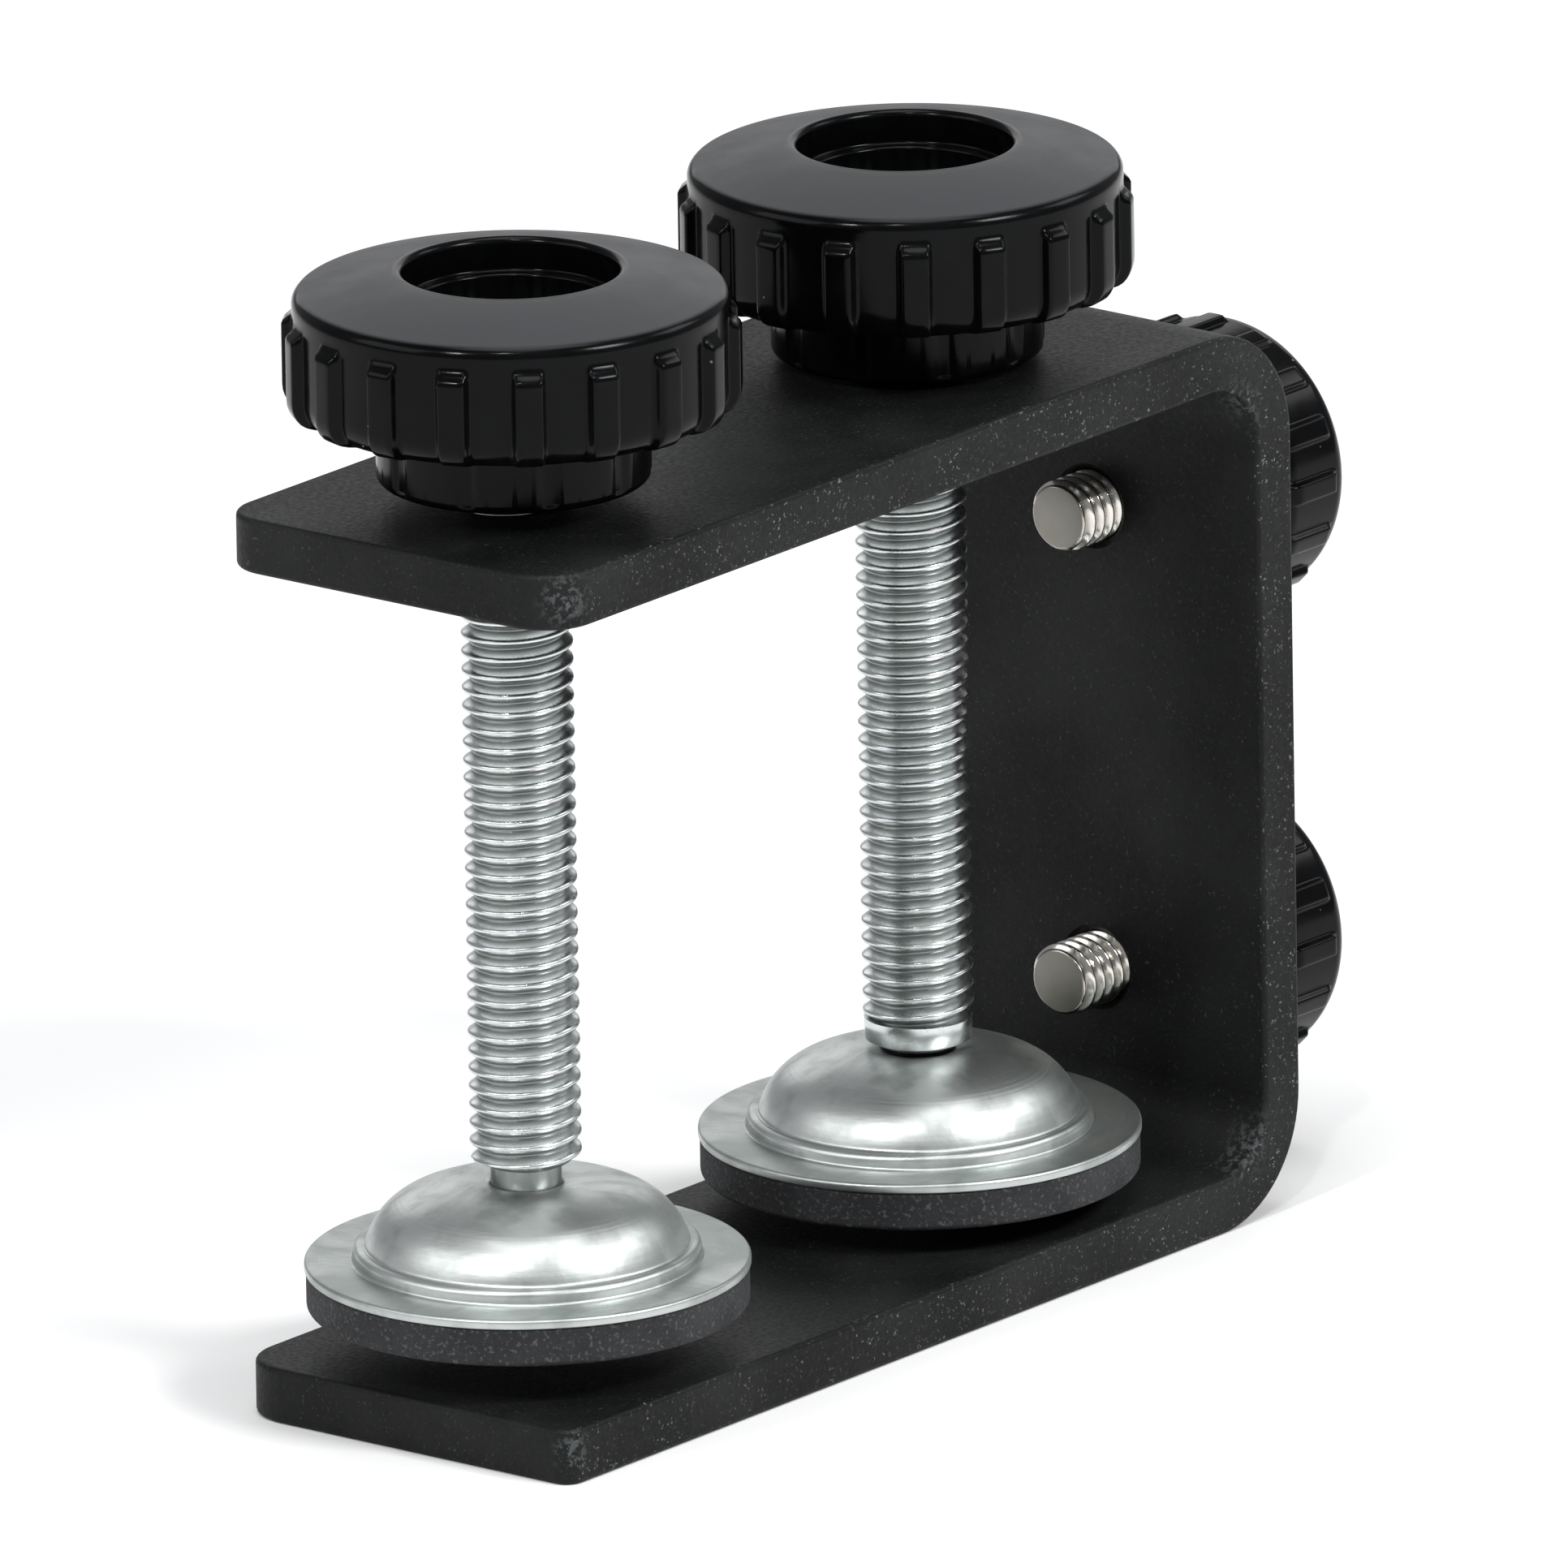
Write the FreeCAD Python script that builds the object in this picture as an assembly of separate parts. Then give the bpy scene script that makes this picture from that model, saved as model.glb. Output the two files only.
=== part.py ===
import FreeCAD, Part
import math
import os

os.makedirs("parts", exist_ok=True)
Vector = FreeCAD.Vector

# Double-screw C-bracket clamp. Millimetres, +Z up, +X towards the web, legs open towards -X.
# The origin is on the lower leg's underside, midway between the legs' free ends and the rearmost
# knob's back.

# Bracket: one flat steel bar, bent twice into a C.
LEG_LENGTH = 100.0
BRACKET_HEIGHT = 79.1
BAR_WIDTH = 36.4
BAR_THICKNESS = 4.8
BEND_OUTER_RADIUS = 10.6
BAR_EDGE_ROUND = 0.45
# Corner radii at the legs' free ends; the near side is -Y and the far side is +Y.
FREE_CORNERS = {
    ("upper", "near"): 4.6,
    ("upper", "far"): 4.2,
    ("lower", "near"): 1.7,
    ("lower", "far"): 5.0,
}

# Clamp screws, 3/8 inch with 16 threads to the inch, hanging through the upper leg.
SCREW_RADIUS = 4.75
SCREW_HOLE_CLEARANCE = 0.06
SCREW_DISTANCE_FROM_WEB = {1: 82.6, 2: 29.25}
PAD_BOTTOM_HEIGHT = {1: 8.7, 2: 7.35}
# Where each screw's plain neck ends, above the rubber pad's underside.
NECK_TOP = {1: 12.3, 2: 10.95}
RUN_IN = 0.8
NECK_RADIUS = 3.0
BALL_RADIUS = 4.9
BALL_CENTRE = 5.45
BALL_FLAT = 4.5
END_CHAMFER = 0.7

# Swivel foot, measured up from the rubber pad's underside.
PAD_THICKNESS = 3.3
PAD_RADIUS = 18.7
PAD_EDGE_ROUND = 0.4
SHEET = 0.85
FLANGE_RADIUS = 18.85
FLANGE_EDGE_ROUND = 0.3
BEAD_RADIUS = 14.1
BEAD_ROUND = 0.6
BEAD_TOP = 5.45
# The dome's outside from the bead to its top, as (radius, height): a shoulder arc, then a crown arc.
# The lip goes on from the dome's top to the hole.
DOME = [(13.75, 5.34), (12.65, 7.6), (10.4, 9.45), (7.6, 10.42), (5.0, 10.85)]
LIP_MIDDLE = (3.75, 10.82)
LIP_END = (3.2, 10.5)
RETAINER_RADIUS = 12.4
RETAINER_THICKNESS = 1.0

# Clamp knobs, measured up from the hub's lower face. A knob's turn is where its first rib stands,
# in degrees.
HUB_HEIGHT_ON_SCREW = 72.35
KNOB_TURN = {1: 3.0, 2: 0.7}
KNOB = {
    "height": 18.35,
    "hub_radius": 11.6,
    "hub_round": 0.8,
    "rim_bottom": 5.75,
    "rim_bottom_round": 2.5,
    "rim_radius": 18.45,
    "shoulder_start": 15.55,
    "shoulder_mid": (18.2, 16.2),
    "shoulder_end": (17.5, 16.6),
    "crown_mid": (13.6, 17.63),
    "lip_round": 0.6,
    "recess_radius": 9.1,
    "recess_step": 2.9,
    "recess_inner_radius": 8.1,
    "recess_depth": 6.5,
    "bore_radius": 6.5,
    "rib_count": 18,
    "rib_width": 2.4,
    "rib_proud": 1.0,
    "rib_top": 14.6,
    "rib_bottom": 7.25,
}
INSERT_GROOVE = 0.4
INSERT_GROOVE_HEIGHTS = (3.4, 7.4)
INSERT_GROOVE_WIDTH = 1.2

# Thumbscrews, 1/4 inch with 20 threads to the inch, through the web. Measured out from the hub's face.
THUMB_HEIGHT = {"lower": 19.1, "upper": 60.0}
THUMB_HUB_GAP = {"lower": 2.45, "upper": 3.3}
THUMB_REACH = 12.45
STUD_RADIUS = 3.175
STUD_HOLE_CLEARANCE = 0.06
STUD_TIP_CHAMFER = 0.35
STUD_HEAD_RADIUS = 5.0
STUD_HEAD_START = 3.0
STUD_HEAD_LENGTH = 4.0
WASHER_RADIUS = 6.6
WASHER_THICKNESS = 1.0
WASHER_BORE_RADIUS = 3.6
WASHER_EDGE_ROUND = 0.25
THUMB_KNOB = {
    "height": 12.6,
    "hub_radius": 7.4,
    "hub_round": 0.5,
    "rim_bottom": 3.4,
    "rim_bottom_round": 1.7,
    "rim_radius": 12.25,
    "shoulder_start": 10.6,
    "shoulder_mid": (11.75, 11.75),
    "shoulder_end": (10.4, 12.4),
    "crown_mid": (8.3, 12.53),
    "lip_round": 0.6,
    "recess_radius": 5.6,
    "recess_step": 1.2,
    "recess_inner_radius": 5.1,
    "recess_depth": 2.2,
    "bore_radius": STUD_RADIUS,
    "rib_count": 16,
    "rib_width": 1.7,
    "rib_proud": 0.6,
    "rib_top": 10.3,
    "rib_bottom": 4.6,
}

# Both kinds of tapped hole have a small countersink on each face.
HOLE_COUNTERSINK = 0.5
# How far a cutting tool runs past the face that it cuts.
PAST = 5.0
# A rib's root sinks this far into the rim.
RIB_ROOT = 1.2
TURN = 360
# Tests of where an edge lies: a distance, and a unit tangent's part along the axis.
NEAR_ENOUGH = 0.01
PARALLEL = 0.999

# The web's outer face, placed so that the origin is midway between the free ends and the rearmost knob.
REARMOST = max(THUMB_HUB_GAP.values()) + THUMB_KNOB["height"]
WEB_X = (LEG_LENGTH - REARMOST) / 2
FREE_X = WEB_X - LEG_LENGTH


def line(start, end):
    return Part.LineSegment(start, end).toShape()


def arc(start, through, end):
    return Part.Arc(start, through, end).toShape()


def quarter(start, end, centre):
    """A quarter circle from start to end about centre, all in the XZ plane."""
    radius = start.distanceToPoint(centre)
    half_way = (start + end) * 0.5 - centre
    return arc(start, centre + half_way * (radius / half_way.Length), end)


def point(radius, height):
    return Vector(radius, 0, height)


def revolved(edges):
    """The solid made by turning a closed outline in the XZ plane about Z."""
    face = Part.Face(Part.Wire(edges))
    return face.revolve(Vector(), Vector(0, 0, 1), TURN)


def revolved_polygon(corners):
    """The solid made by turning a closed polygon of (radius, height) corners about Z."""
    points = [point(*corner) for corner in corners]
    edges = [line(a, b) for a, b in zip(points, points[1:] + points[:1])]
    return revolved(edges)


def on_axis(shape, x, z):
    """Moves a shape made about Z so that its base is at (x, 0, z)."""
    placed = shape.copy()
    placed.translate(Vector(x, 0, z))
    return placed


def along_x(shape, x, z):
    """Turns a shape made about +Z so that it points along +X, with its base at (x, 0, z)."""
    placed = shape.copy()
    placed.rotate(Vector(), Vector(0, 1, 0), 90)
    placed.translate(Vector(x, 0, z))
    return placed


def countersunk_drill(radius):
    """A cutting tool along +Z for a tapped hole through the bar, from z=0 to the bar's thickness."""
    wide = radius + HOLE_COUNTERSINK + PAST
    far = BAR_THICKNESS
    return revolved_polygon([
        (0, -PAST),
        (wide, -PAST),
        (radius, HOLE_COUNTERSINK),
        (radius, far - HOLE_COUNTERSINK),
        (wide, far + PAST),
        (0, far + PAST),
    ])


def bracket():
    """The bent bar, with its free corners and all its long edges rounded, and four tapped holes."""
    outer = BEND_OUTER_RADIUS
    top = BRACKET_HEIGHT
    bar = BAR_THICKNESS
    bend_x = WEB_X - outer
    inner_x = WEB_X - bar
    low_centre = point(bend_x, outer)
    high_centre = point(bend_x, top - outer)
    edges = [
        line(point(FREE_X, 0), point(bend_x, 0)),
        quarter(point(bend_x, 0), point(WEB_X, outer), low_centre),
        line(point(WEB_X, outer), point(WEB_X, top - outer)),
        quarter(point(WEB_X, top - outer), point(bend_x, top), high_centre),
        line(point(bend_x, top), point(FREE_X, top)),
        line(point(FREE_X, top), point(FREE_X, top - bar)),
        line(point(FREE_X, top - bar), point(bend_x, top - bar)),
        quarter(point(bend_x, top - bar), point(inner_x, top - outer), high_centre),
        line(point(inner_x, top - outer), point(inner_x, outer)),
        quarter(point(inner_x, outer), point(bend_x, bar), low_centre),
        line(point(bend_x, bar), point(FREE_X, bar)),
        line(point(FREE_X, bar), point(FREE_X, 0)),
    ]
    profile = Part.Face(Part.Wire(edges))
    profile.translate(Vector(0, -BAR_WIDTH / 2, 0))
    body = profile.extrude(Vector(0, BAR_WIDTH, 0))

    for (leg, side), radius in FREE_CORNERS.items():
        corner = [edge for edge in body.Edges if is_free_corner(edge, leg, side)]
        body = body.makeFillet(radius, corner)
    long_edges = [edge for edge in body.Edges if is_outline(edge)]
    body = body.makeFillet(BAR_EDGE_ROUND, long_edges)

    screw_drill = countersunk_drill(SCREW_RADIUS + SCREW_HOLE_CLEARANCE)
    for distance in SCREW_DISTANCE_FROM_WEB.values():
        body = body.cut(on_axis(screw_drill, WEB_X - distance, top - bar))
    stud_drill = countersunk_drill(STUD_RADIUS + STUD_HOLE_CLEARANCE)
    for height in THUMB_HEIGHT.values():
        body = body.cut(along_x(stud_drill, inner_x, height))
    return body


def is_free_corner(edge, leg, side):
    """True for the sharp upright edge at the free end of the named leg, on the named side."""
    centre = edge.CenterOfMass
    upright = abs(edge.tangentAt(edge.FirstParameter).z) > PARALLEL
    at_end = abs(centre.x - FREE_X) < NEAR_ENOUGH
    on_leg = (centre.z > BRACKET_HEIGHT / 2) == (leg == "upper")
    corner_y = BAR_WIDTH / 2 if side == "far" else -BAR_WIDTH / 2
    return upright and at_end and on_leg and abs(centre.y - corner_y) < NEAR_ENOUGH


def is_outline(edge):
    """True for the edges between the bar's wide faces and its cut edges, all round the bar."""
    through_thickness = abs(edge.tangentAt(edge.FirstParameter).z) > PARALLEL and edge.BoundBox.XMax < 0
    across_bar = abs(edge.tangentAt(edge.FirstParameter).y) > PARALLEL
    at_free_end = edge.BoundBox.XMax < FREE_X + 2 * max(FREE_CORNERS.values())
    return not through_thickness and (at_free_end or not across_bar)


def clamp_screw(neck_top):
    """The rod from its ball end (low) to its plain upper end, with z=0 at the pad's underside."""
    top = HUB_HEIGHT_ON_SCREW + KNOB["height"] - KNOB["recess_depth"]
    flat_radius = math.sqrt(BALL_RADIUS ** 2 - (BALL_CENTRE - BALL_FLAT) ** 2)
    neck_height = BALL_CENTRE + math.sqrt(BALL_RADIUS ** 2 - NECK_RADIUS ** 2)
    edges = [
        line(point(0, BALL_FLAT), point(flat_radius, BALL_FLAT)),
        arc(
            point(flat_radius, BALL_FLAT),
            point(BALL_RADIUS, BALL_CENTRE),
            point(NECK_RADIUS, neck_height),
        ),
        line(point(NECK_RADIUS, neck_height), point(NECK_RADIUS, neck_top)),
        line(point(NECK_RADIUS, neck_top), point(SCREW_RADIUS, neck_top + RUN_IN)),
        line(point(SCREW_RADIUS, neck_top + RUN_IN), point(SCREW_RADIUS, top - END_CHAMFER)),
        line(point(SCREW_RADIUS, top - END_CHAMFER), point(SCREW_RADIUS - END_CHAMFER, top)),
        line(point(SCREW_RADIUS - END_CHAMFER, top), point(0, top)),
        line(point(0, top), point(0, BALL_FLAT)),
    ]
    return revolved(edges)


def inset(points, depth):
    """The same path moved down and towards the axis by the given depth, square to its own run."""
    moved = []
    for index, here in enumerate(points):
        before = points[max(index - 1, 0)]
        after = points[min(index + 1, len(points) - 1)]
        along = (after - before).normalize()
        moved.append(here + Vector(-along.z, 0, along.x) * depth)
    return moved


def foot_shell():
    """The pressed steel cup over the ball: flange, rolled bead, dome and a lip curled in at the neck."""
    flange_low = PAD_THICKNESS
    flange_top = flange_low + SHEET
    bead_out = BEAD_RADIUS + BEAD_ROUND
    bead_side = BEAD_TOP - BEAD_ROUND
    edge_out = FLANGE_RADIUS - FLANGE_EDGE_ROUND
    dome = [point(*place) for place in DOME]
    lip_end = point(*LIP_END)
    inner = inset(dome, SHEET)
    lip_under = lip_end - Vector(0, 0, SHEET)
    edges = [
        line(point(inner[0].x, flange_low), point(edge_out, flange_low)),
        line(point(edge_out, flange_low), point(FLANGE_RADIUS, flange_low + FLANGE_EDGE_ROUND)),
        line(
            point(FLANGE_RADIUS, flange_low + FLANGE_EDGE_ROUND),
            point(FLANGE_RADIUS, flange_top - FLANGE_EDGE_ROUND),
        ),
        quarter(
            point(FLANGE_RADIUS, flange_top - FLANGE_EDGE_ROUND),
            point(edge_out, flange_top),
            point(edge_out, flange_top - FLANGE_EDGE_ROUND),
        ),
        line(point(edge_out, flange_top), point(bead_out, flange_top)),
        line(point(bead_out, flange_top), point(bead_out, bead_side)),
        arc(point(bead_out, bead_side), point(BEAD_RADIUS, BEAD_TOP), dome[0]),
        arc(*dome[:3]),
        arc(*dome[2:]),
        arc(dome[-1], point(*LIP_MIDDLE), lip_end),
        line(lip_end, lip_under),
        line(lip_under, inner[-1]),
        arc(inner[4], inner[3], inner[2]),
        arc(inner[2], inner[1], inner[0]),
        line(inner[0], point(inner[0].x, flange_low)),
    ]
    return revolved(edges)


def ball_retainer():
    """The disc inside the shell that the ball end stands on."""
    return revolved_polygon([
        (0, PAD_THICKNESS),
        (RETAINER_RADIUS, PAD_THICKNESS),
        (RETAINER_RADIUS - RETAINER_THICKNESS / 2, PAD_THICKNESS + RETAINER_THICKNESS),
        (0, PAD_THICKNESS + RETAINER_THICKNESS),
    ])


def rubber_pad():
    """The plain rubber disc bonded under the flange."""
    disc = Part.makeCylinder(PAD_RADIUS, PAD_THICKNESS)
    low_edge = [edge for edge in disc.Edges if edge.BoundBox.ZMax < PAD_THICKNESS / 2]
    return disc.makeFillet(PAD_EDGE_ROUND, low_edge)


def ribbed_knob(size, turn=0.0):
    """A moulded knob about Z, hub down, with a stepped recess in its top and ribs round its rim."""
    top = size["height"]
    hub = size["hub_radius"]
    hub_round = size["hub_round"]
    low = size["rim_bottom"]
    low_round = size["rim_bottom_round"]
    rim = size["rim_radius"]
    lip = size["lip_round"]
    recess = size["recess_radius"]
    step_height = top - size["recess_step"]
    floor_height = top - size["recess_depth"]
    inner = size["recess_inner_radius"]
    bore = size["bore_radius"]
    shoulder_end = point(*size["shoulder_end"])
    edges = [
        line(point(bore, 0), point(hub - hub_round, 0)),
        quarter(point(hub - hub_round, 0), point(hub, hub_round), point(hub - hub_round, hub_round)),
        line(point(hub, hub_round), point(hub, low)),
        line(point(hub, low), point(rim - low_round, low)),
        quarter(
            point(rim - low_round, low),
            point(rim, low + low_round),
            point(rim - low_round, low + low_round),
        ),
        line(point(rim, low + low_round), point(rim, size["shoulder_start"])),
        arc(point(rim, size["shoulder_start"]), point(*size["shoulder_mid"]), shoulder_end),
        arc(shoulder_end, point(*size["crown_mid"]), point(recess + lip, top)),
        quarter(point(recess + lip, top), point(recess, top - lip), point(recess + lip, top - lip)),
        line(point(recess, top - lip), point(recess, step_height)),
        line(point(recess, step_height), point(inner, step_height)),
        line(point(inner, step_height), point(inner, floor_height)),
        line(point(inner, floor_height), point(bore, floor_height)),
        line(point(bore, floor_height), point(bore, 0)),
    ]
    knob = revolved(edges)
    pitch = TURN / size["rib_count"]
    ribs = [rib(size, turn + index * pitch) for index in range(size["rib_count"])]
    return knob.multiFuse(ribs).removeSplitter()


def rib(size, angle):
    """One upright grip rib with a rounded crown, let into the rim at the given angle in degrees."""
    rim = size["rim_radius"]
    half = size["rib_width"] / 2
    proud = rim + size["rib_proud"]
    root = rim - RIB_ROOT
    low, high = size["rib_bottom"], size["rib_top"]
    outline = Part.Wire([
        line(Vector(root, -half, low), Vector(rim, -half, low)),
        arc(Vector(rim, -half, low), Vector(proud, 0, low), Vector(rim, half, low)),
        line(Vector(rim, half, low), Vector(root, half, low)),
        line(Vector(root, half, low), Vector(root, -half, low)),
    ])
    solid = Part.Face(outline).extrude(Vector(0, 0, high - low))
    solid.rotate(Vector(), Vector(0, 0, 1), angle)
    return solid


def knob_insert():
    """The steel sleeve moulded into the clamp knob, with two locking grooves, z=0 at the hub's face."""
    length = KNOB["height"] - KNOB["recess_depth"]
    outer = KNOB["bore_radius"]
    inner = outer - INSERT_GROOVE
    corners = [(SCREW_RADIUS, 0), (outer, 0)]
    for low in INSERT_GROOVE_HEIGHTS:
        high = low + INSERT_GROOVE_WIDTH
        corners += [(outer, low), (inner, low), (inner, high), (outer, high)]
    corners += [(outer, length), (SCREW_RADIUS, length)]
    return revolved_polygon(corners)


def thumb_stud():
    """The thumbscrew's steel stud about Z, z=0 at the knob's hub face, tip at -THUMB_REACH."""
    tip = -THUMB_REACH
    head_end = STUD_HEAD_START + STUD_HEAD_LENGTH
    return revolved_polygon([
        (0, tip),
        (STUD_RADIUS - STUD_TIP_CHAMFER, tip),
        (STUD_RADIUS, tip + STUD_TIP_CHAMFER),
        (STUD_RADIUS, STUD_HEAD_START),
        (STUD_HEAD_RADIUS, STUD_HEAD_START),
        (STUD_HEAD_RADIUS, head_end),
        (0, head_end),
    ])


def thumb_knob():
    """The small moulded knob, solid behind the stud's head."""
    knob = ribbed_knob(THUMB_KNOB)
    floor_height = THUMB_KNOB["height"] - THUMB_KNOB["recess_depth"]
    plug = Part.makeCylinder(STUD_RADIUS + RIB_ROOT, floor_height)
    return knob.fuse(plug).removeSplitter().cut(thumb_stud())


def thumb_washer():
    """The flat washer between the thumbscrew's hub and whatever it holds, z=0 at its hub side."""
    ring = Part.makeCylinder(WASHER_RADIUS, WASHER_THICKNESS)
    rims = [edge for edge in ring.Edges if isinstance(edge.Curve, Part.Circle)]
    ring = ring.makeFillet(WASHER_EDGE_ROUND, rims)
    ring = ring.cut(Part.makeCylinder(WASHER_BORE_RADIUS, WASHER_THICKNESS))
    ring.translate(Vector(0, 0, -WASHER_THICKNESS))
    return ring


def all_nodes():
    nodes = {"bracket": bracket()}
    for number, distance in SCREW_DISTANCE_FROM_WEB.items():
        x = WEB_X - distance
        base = PAD_BOTTOM_HEIGHT[number]
        hub = base + HUB_HEIGHT_ON_SCREW
        nodes[f"clamp_screw_{number}"] = on_axis(clamp_screw(NECK_TOP[number]), x, base)
        nodes[f"clamp_knob_{number}"] = on_axis(ribbed_knob(KNOB, KNOB_TURN[number]), x, hub)
        nodes[f"knob_insert_{number}"] = on_axis(knob_insert(), x, hub)
        nodes[f"foot_shell_{number}"] = on_axis(foot_shell(), x, base)
        nodes[f"ball_retainer_{number}"] = on_axis(ball_retainer(), x, base)
        nodes[f"rubber_pad_{number}"] = on_axis(rubber_pad(), x, base)
    for name, height in THUMB_HEIGHT.items():
        x = WEB_X + THUMB_HUB_GAP[name]
        nodes[f"thumb_stud_{name}"] = along_x(thumb_stud(), x, height)
        nodes[f"thumb_knob_{name}"] = along_x(thumb_knob(), x, height)
        nodes[f"thumb_washer_{name}"] = along_x(thumb_washer(), x, height)
    return nodes


for node_name, node_shape in all_nodes().items():
    node_shape.exportStep(f"parts/{node_name}.step")
    print(node_name, node_shape.isValid(), len(node_shape.Solids), round(node_shape.Volume, 1))
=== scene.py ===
"""Double-screw C-bracket clamp: the visible pieces, materials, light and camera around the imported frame."""
import math

import bpy
import bmesh
from mathutils import Matrix, Vector


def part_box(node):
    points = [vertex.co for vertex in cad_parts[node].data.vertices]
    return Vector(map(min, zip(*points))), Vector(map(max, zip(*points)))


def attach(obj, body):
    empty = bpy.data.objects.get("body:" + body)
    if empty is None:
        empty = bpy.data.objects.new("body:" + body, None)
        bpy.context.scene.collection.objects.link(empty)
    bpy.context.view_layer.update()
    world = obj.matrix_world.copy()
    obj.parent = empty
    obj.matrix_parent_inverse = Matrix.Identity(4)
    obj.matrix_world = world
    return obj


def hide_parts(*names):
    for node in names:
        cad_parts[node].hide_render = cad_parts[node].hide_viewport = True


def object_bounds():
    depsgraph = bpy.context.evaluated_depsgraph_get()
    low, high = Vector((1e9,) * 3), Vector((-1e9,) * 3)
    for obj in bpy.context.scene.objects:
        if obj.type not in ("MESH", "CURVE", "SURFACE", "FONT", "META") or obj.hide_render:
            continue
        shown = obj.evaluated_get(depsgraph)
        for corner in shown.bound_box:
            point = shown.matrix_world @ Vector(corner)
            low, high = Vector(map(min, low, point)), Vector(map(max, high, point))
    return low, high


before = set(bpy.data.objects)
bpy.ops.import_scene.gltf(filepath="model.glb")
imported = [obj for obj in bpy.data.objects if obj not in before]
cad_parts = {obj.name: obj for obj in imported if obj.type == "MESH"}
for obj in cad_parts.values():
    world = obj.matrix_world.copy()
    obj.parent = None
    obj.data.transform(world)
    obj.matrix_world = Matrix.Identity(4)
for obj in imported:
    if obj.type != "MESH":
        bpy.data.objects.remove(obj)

CAD_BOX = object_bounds()

MM = 0.001
TAU = 2 * math.pi
# A length in millimetres that counts as none, and two in metres: how close points are to be one, and the
# longest edge that counts as none.
NEARLY = 1e-6
SAME_POINT = 2e-7
NO_EDGE = 1e-7

# Sizes in millimetres, as on the CAD pieces that these pieces stand for. A few differ by a little: small edge
# rounds, the end of the foot's lip and the height of the clamp knobs' ribs.
BAR_THICKNESS = 4.8
PAD_THICKNESS = 3.3
PAD_RADIUS = 18.7
SHEET = 0.85
PAD_LOW_ROUND = 0.5
PAD_HIGH_ROUND = 0.25
FLANGE_RADIUS = 18.85
FLANGE_UNDER_ROUND = 0.2
FLANGE_EDGE_ROUND = 0.3
BEAD_RADIUS = 14.1
BEAD_ROUND = 0.6
BEAD_TOP = 5.45
DOME = [(13.75, 5.34), (12.65, 7.6), (10.4, 9.45), (7.6, 10.42), (5.0, 10.85)]
LIP_MIDDLE = (3.75, 10.82)
LIP_END = (3.03, 10.6)
NECK_TOP = {1: 12.3, 2: 10.95}
NECK_RADIUS = 3.0
BALL_RADIUS = 4.9
BALL_CENTRE = 5.45
BALL_FLAT = 4.5
SCREW_RADIUS = 4.75
SCREW_PITCH = 25.4 / 16
STUD_RADIUS = 3.175
STUD_PITCH = 25.4 / 20
STUD_HEAD_RADIUS = 5.0
STUD_HEAD_START = 3.0
STUD_HEAD_LENGTH = 4.0
THUMB_REACH = 12.45
WASHER_RADIUS = 6.6
WASHER_BORE_RADIUS = 3.6
WASHER_THICKNESS = 1.0
WASHER_BORE_ROUND = 0.1
WASHER_EDGE_ROUND = 0.25
RUN_IN = 0.8
END_CHAMFER = 0.7
STUD_TIP_CHAMFER = 0.35
# A narrow ring of faces that keeps a clamp screw's end face flat in the shading.
ROD_END_RING = 0.15
# The stud's tip, measured in from its end chamfer and up from its end: the flat's edge, the round's edge and
# its height, then the height where the thread starts. The last is how far the thread fades at the head.
STUD_TIP_FLAT = 0.25
STUD_TIP_RING = 0.1
STUD_TIP_ROUND = 0.06
STUD_TIP_LAND = 0.2
STUD_THREAD_END = 0.3

# Screw 2 has a plain shank between its neck and its thread: how far it is under the thread's outside
# radius at its foot and at its top, and the height of its top.
SHANK_NUMBER = 2
SHANK_UNDER_LOW = 0.2
SHANK_UNDER_HIGH = 0.15
SHANK_TOP = 13.6

# Depth of the thread, in pitches, and one half of its rolled 60-degree profile from crest to root, as
# (share of a pitch, share of the depth).
THREAD_DEPTH = 0.55
HALF_PROFILE = [
    (0.0, 0.0), (0.06, 0.02), (0.11, 0.09), (0.17, 0.24), (0.27, 0.53), (0.36, 0.8), (0.43, 0.95), (0.5, 1.0),
]

# Knobs, measured up from the hub's lower face. "row" is the mesh's longest step up the wall.
KNOB_TURN = {1: 3.0, 2: 0.7}
KNOB_BORE_RADIUS = 6.5
KNOB = {
    "height": 18.35,
    "hub_radius": 11.6,
    "hub_round": 0.8,
    "hub_fillet": 0.9,
    "rim_bottom": 5.75,
    "rim_bottom_round": 2.5,
    "rim_radius": 18.45,
    "shoulder_start": 15.55,
    "shoulder_mid": (18.2, 16.2),
    "shoulder_end": (17.5, 16.6),
    "crown_mid": (13.6, 17.63),
    "lip_round": 0.6,
    "recess_radius": 9.1,
    "recess_step": 2.9,
    "recess_inner_radius": 8.1,
    "recess_depth": 6.5,
    "floor_radius": KNOB_BORE_RADIUS,
    "small_round": 0.25,
    "rib_count": 18,
    "rib_width": 2.4,
    "rib_proud": 0.9,
    "rib_top": 14.6,
    "row": 0.3,
    "flutes": 10,
    "flute_depth": 0.35,
}
THUMB_KNOB = {
    "height": 12.6,
    "hub_radius": 7.4,
    "hub_round": 0.5,
    "hub_fillet": 0.5,
    "rim_bottom": 3.4,
    "rim_bottom_round": 1.7,
    "rim_radius": 12.25,
    "shoulder_start": 10.6,
    "shoulder_mid": (11.75, 11.75),
    "shoulder_end": (10.4, 12.4),
    "crown_mid": (8.3, 12.53),
    "lip_round": 0.6,
    "recess_radius": 5.6,
    "recess_step": 1.2,
    "recess_inner_radius": 5.1,
    "recess_depth": 2.2,
    "floor_radius": 0.0,
    "small_round": 0.2,
    "rib_count": 16,
    "rib_width": 1.7,
    "rib_proud": 0.6,
    "rib_top": 10.3,
    "row": 0.25,
    "flutes": 8,
    "flute_depth": 0.2,
}
# Where the crown starts on each kind of knob: the height, and the radius outside the recess's lip. The crown
# is matt and painted a paler grey, partly for its finish and partly as painted light from above.
CROWN = {"clamp": (16.5, 9.7), "thumb": (12.3, 6.2)}

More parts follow.
